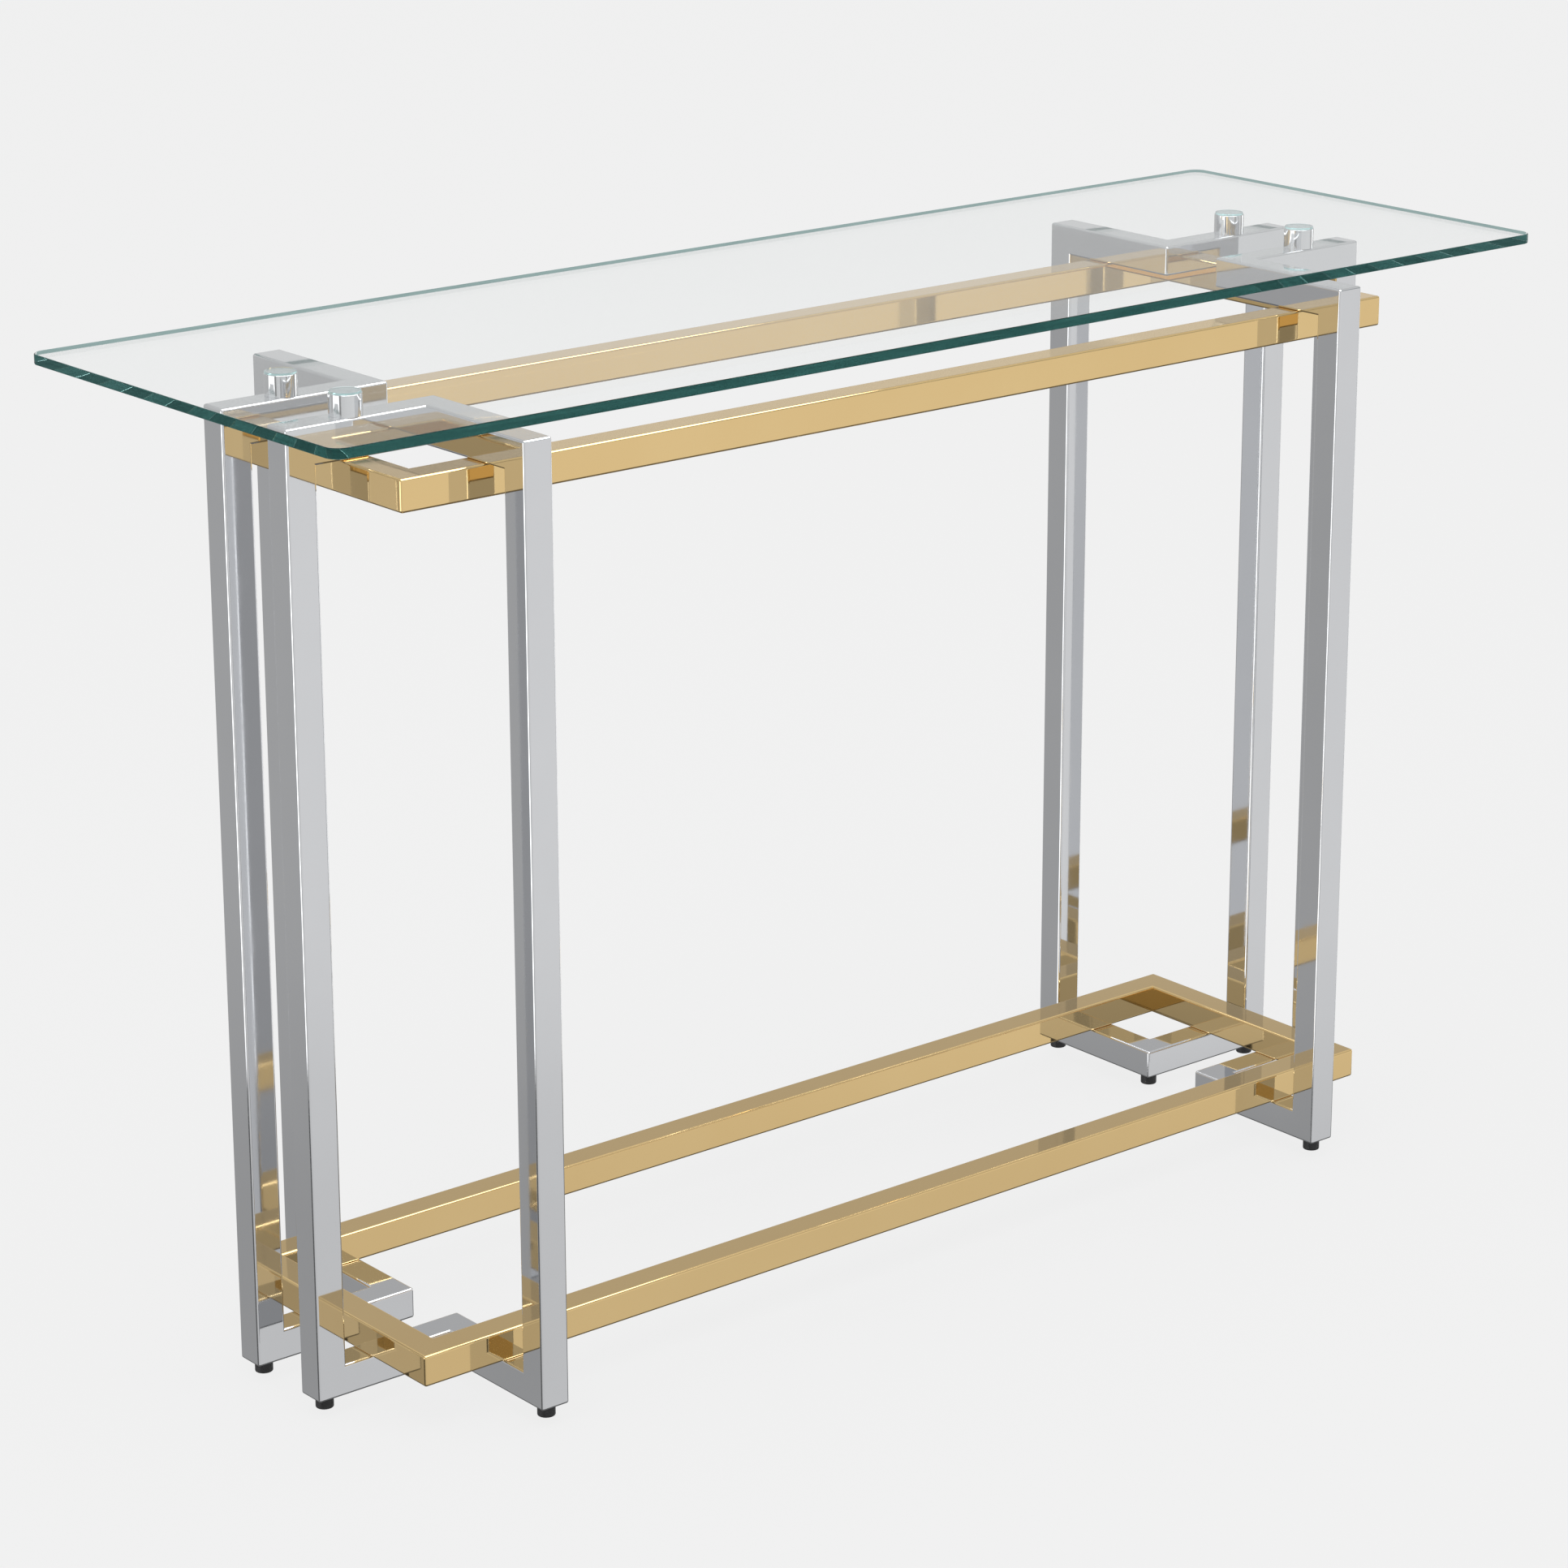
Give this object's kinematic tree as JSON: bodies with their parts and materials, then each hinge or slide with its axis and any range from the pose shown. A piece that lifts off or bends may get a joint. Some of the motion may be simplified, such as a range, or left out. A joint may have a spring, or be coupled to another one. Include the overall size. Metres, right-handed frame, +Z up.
{
  "type": "console table",
  "caption": "Long narrow console table: clear glass top with rounded corners on chrome square-tube loops tied by gold rectangular frames, with levelling feet.",
  "frame": {"origin": "on the floor, under the middle of the glass top, with the feet screwed home", "axes": "+X along the table's length, -Y towards the front, +Z up"},
  "size_m": [1.2, 0.4, 0.782],
  "materials": {
    "glass_top": "clear float glass with a polished, dark green edge",
    "clear_pad": "clear bonding pad",
    "polished_chrome": "mirror-polished chrome plating on steel",
    "polished_gold": "mirror-polished champagne gold plating on steel",
    "black_nylon": "moulded black nylon, satin",
    "zinc_steel": "zinc-plated steel"
  },
  "bodies": {
    "table": {"glass_top": "glass_top", "glass_pads": "clear_pad", "standoff_front_left": "polished_chrome", "standoff_front_right": "polished_chrome", "standoff_back_left": "polished_chrome", "standoff_back_right": "polished_chrome", "front_left_end_leg": "polished_chrome", "front_left_side_leg": "polished_chrome", "front_left_top_end_arm": "polished_chrome", "front_left_top_side_arm": "polished_chrome", "front_left_base_end_arm": "polished_chrome", "front_left_base_side_arm": "polished_chrome", "front_right_end_leg": "polished_chrome", "front_right_side_leg": "polished_chrome", "front_right_top_end_arm": "polished_chrome", "front_right_top_side_arm": "polished_chrome", "front_right_base_end_arm": "polished_chrome", "front_right_base_side_arm": "polished_chrome", "back_left_end_leg": "polished_chrome", "back_left_side_leg": "polished_chrome", "back_left_top_end_arm": "polished_chrome", "back_left_top_side_arm": "polished_chrome", "back_left_base_end_arm": "polished_chrome", "back_left_base_side_arm": "polished_chrome", "back_right_end_leg": "polished_chrome", "back_right_side_leg": "polished_chrome", "back_right_top_end_arm": "polished_chrome", "back_right_top_side_arm": "polished_chrome", "back_right_base_end_arm": "polished_chrome", "back_right_base_side_arm": "polished_chrome", "upper_front_rail": "polished_gold", "upper_back_rail": "polished_gold", "upper_left_rail": "polished_gold", "upper_right_rail": "polished_gold", "lower_front_rail": "polished_gold", "lower_back_rail": "polished_gold", "lower_left_rail": "polished_gold", "lower_right_rail": "polished_gold", "foot_nuts": "zinc_steel", "standoff_bolts": "zinc_steel", "upper_frame_screws": "zinc_steel", "upper_frame_nuts": "zinc_steel", "lower_frame_screws": "zinc_steel", "lower_frame_nuts": "zinc_steel"},
    "foot_front_left_end": {"foot_front_left_end": "black_nylon"},
    "foot_front_left_side": {"foot_front_left_side": "black_nylon"},
    "foot_front_left_elbow": {"foot_front_left_elbow": "black_nylon"},
    "foot_front_right_end": {"foot_front_right_end": "black_nylon"},
    "foot_front_right_side": {"foot_front_right_side": "black_nylon"},
    "foot_front_right_elbow": {"foot_front_right_elbow": "black_nylon"},
    "foot_back_left_end": {"foot_back_left_end": "black_nylon"},
    "foot_back_left_side": {"foot_back_left_side": "black_nylon"},
    "foot_back_left_elbow": {"foot_back_left_elbow": "black_nylon"},
    "foot_back_right_end": {"foot_back_right_end": "black_nylon"},
    "foot_back_right_side": {"foot_back_right_side": "black_nylon"},
    "foot_back_right_elbow": {"foot_back_right_elbow": "black_nylon"}
  },
  "joints": [
    {"name": "level_front_left_end", "type": "slide", "parent": "table", "child": "foot_front_left_end", "axis": [0, 0, -1], "range_m": [0, 0.006]},
    {"name": "level_front_left_side", "type": "slide", "parent": "table", "child": "foot_front_left_side", "axis": [0, 0, -1], "range_m": [0, 0.006]},
    {"name": "level_front_left_elbow", "type": "slide", "parent": "table", "child": "foot_front_left_elbow", "axis": [0, 0, -1], "range_m": [0, 0.006]},
    {"name": "level_front_right_end", "type": "slide", "parent": "table", "child": "foot_front_right_end", "axis": [0, 0, -1], "range_m": [0, 0.006]},
    {"name": "level_front_right_side", "type": "slide", "parent": "table", "child": "foot_front_right_side", "axis": [0, 0, -1], "range_m": [0, 0.006]},
    {"name": "level_front_right_elbow", "type": "slide", "parent": "table", "child": "foot_front_right_elbow", "axis": [0, 0, -1], "range_m": [0, 0.006]},
    {"name": "level_back_left_end", "type": "slide", "parent": "table", "child": "foot_back_left_end", "axis": [0, 0, -1], "range_m": [0, 0.006]},
    {"name": "level_back_left_side", "type": "slide", "parent": "table", "child": "foot_back_left_side", "axis": [0, 0, -1], "range_m": [0, 0.006]},
    {"name": "level_back_left_elbow", "type": "slide", "parent": "table", "child": "foot_back_left_elbow", "axis": [0, 0, -1], "range_m": [0, 0.006]},
    {"name": "level_back_right_end", "type": "slide", "parent": "table", "child": "foot_back_right_end", "axis": [0, 0, -1], "range_m": [0, 0.006]},
    {"name": "level_back_right_side", "type": "slide", "parent": "table", "child": "foot_back_right_side", "axis": [0, 0, -1], "range_m": [0, 0.006]},
    {"name": "level_back_right_elbow", "type": "slide", "parent": "table", "child": "foot_back_right_elbow", "axis": [0, 0, -1], "range_m": [0, 0.006]}
  ]
}
